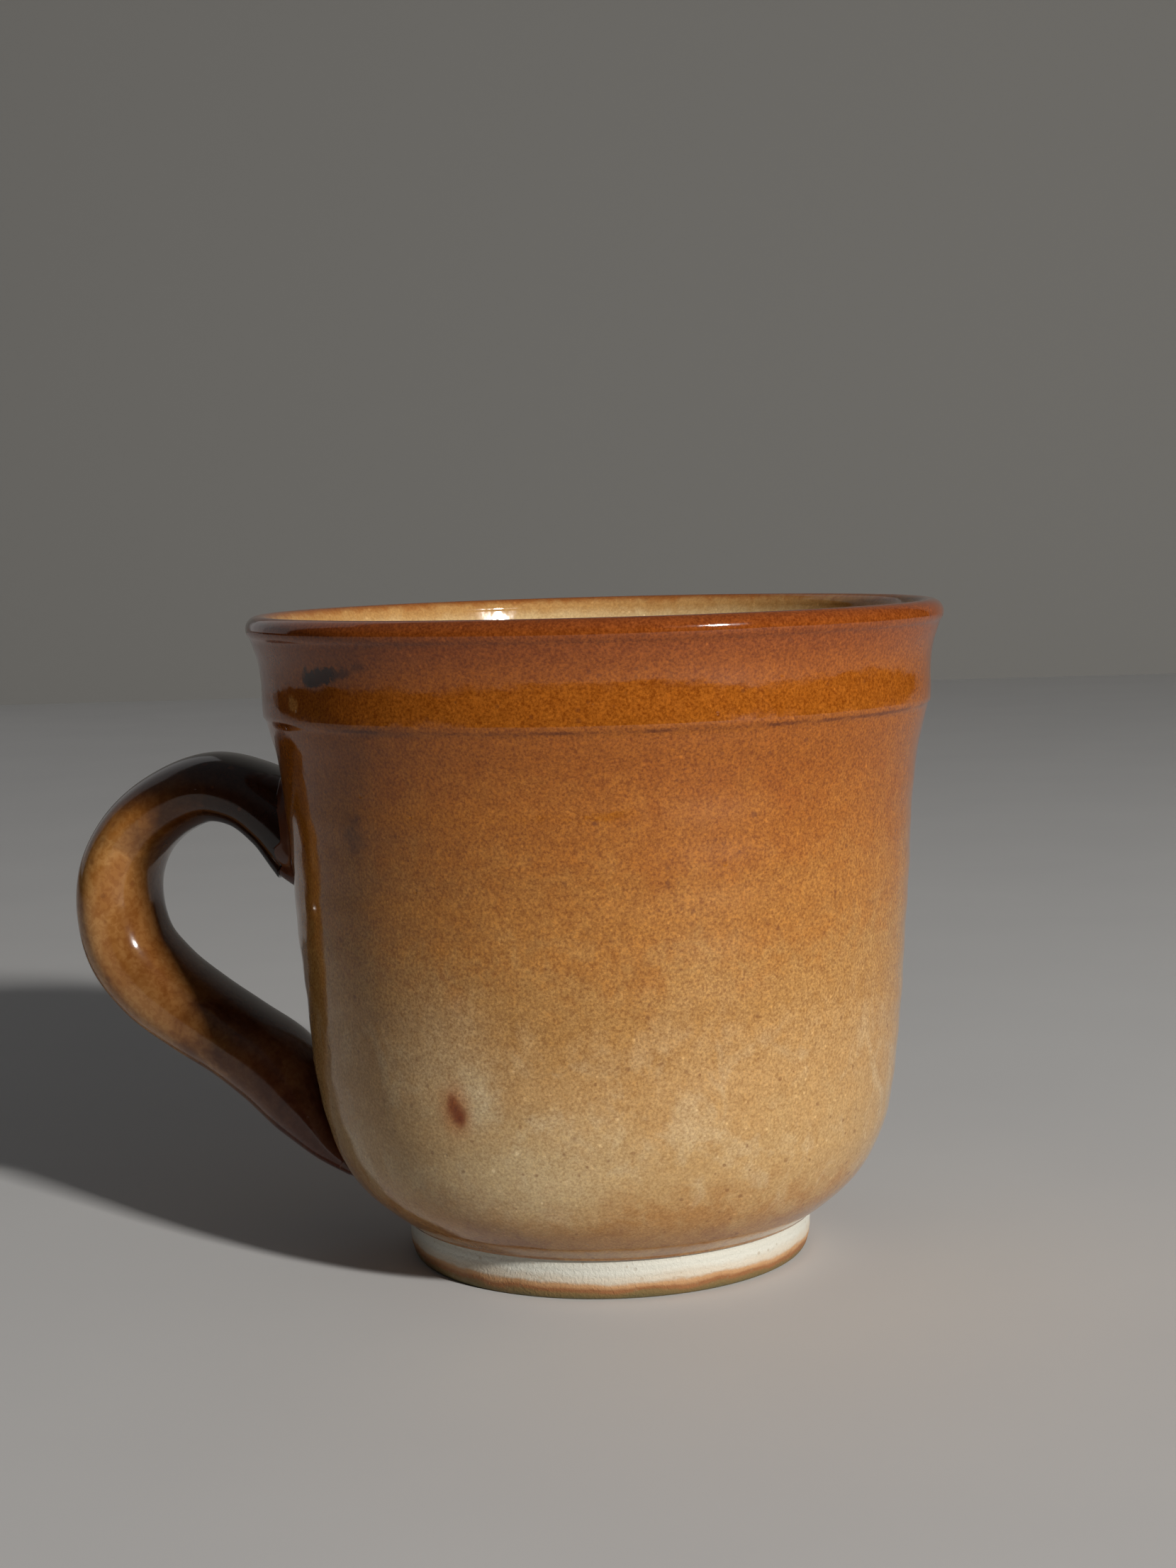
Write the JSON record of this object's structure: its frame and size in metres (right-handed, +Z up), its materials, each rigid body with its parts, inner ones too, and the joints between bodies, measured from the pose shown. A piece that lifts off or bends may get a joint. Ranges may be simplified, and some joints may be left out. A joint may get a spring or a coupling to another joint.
{
  "type": "stoneware mug",
  "caption": "Wheel-thrown stoneware mug with a flared rolled lip, raised collar, turned foot ring and a pulled strap handle for drinking hot liquids.",
  "frame": {"origin": "on the resting plane, under the middle of the mug's overall box (the cup's own axis is at X = +13.6 mm)", "axes": "+Z up along the cup axis; the handle points to -X; +Y points away from a viewer who sees the handle on the left"},
  "size_m": [0.1174, 0.0904, 0.0847],
  "materials": {
    "cup_glaze": "glossy speckled rust-brown glaze fading to sand",
    "handle_glaze": "glossy mottled ochre-brown glaze",
    "slip_glaze": "glossy dark reddish brown where the glaze breaks over the joint",
    "bare_clay": "matt pale stoneware, toasted orange at the edge"
  },
  "bodies": {
    "root": {"cup_body": "cup_glaze", "foot_ring": "bare_clay", "handle": "handle_glaze", "upper_slip_joint": "slip_glaze", "lower_slip_joint": "slip_glaze"}
  },
  "joints": []
}
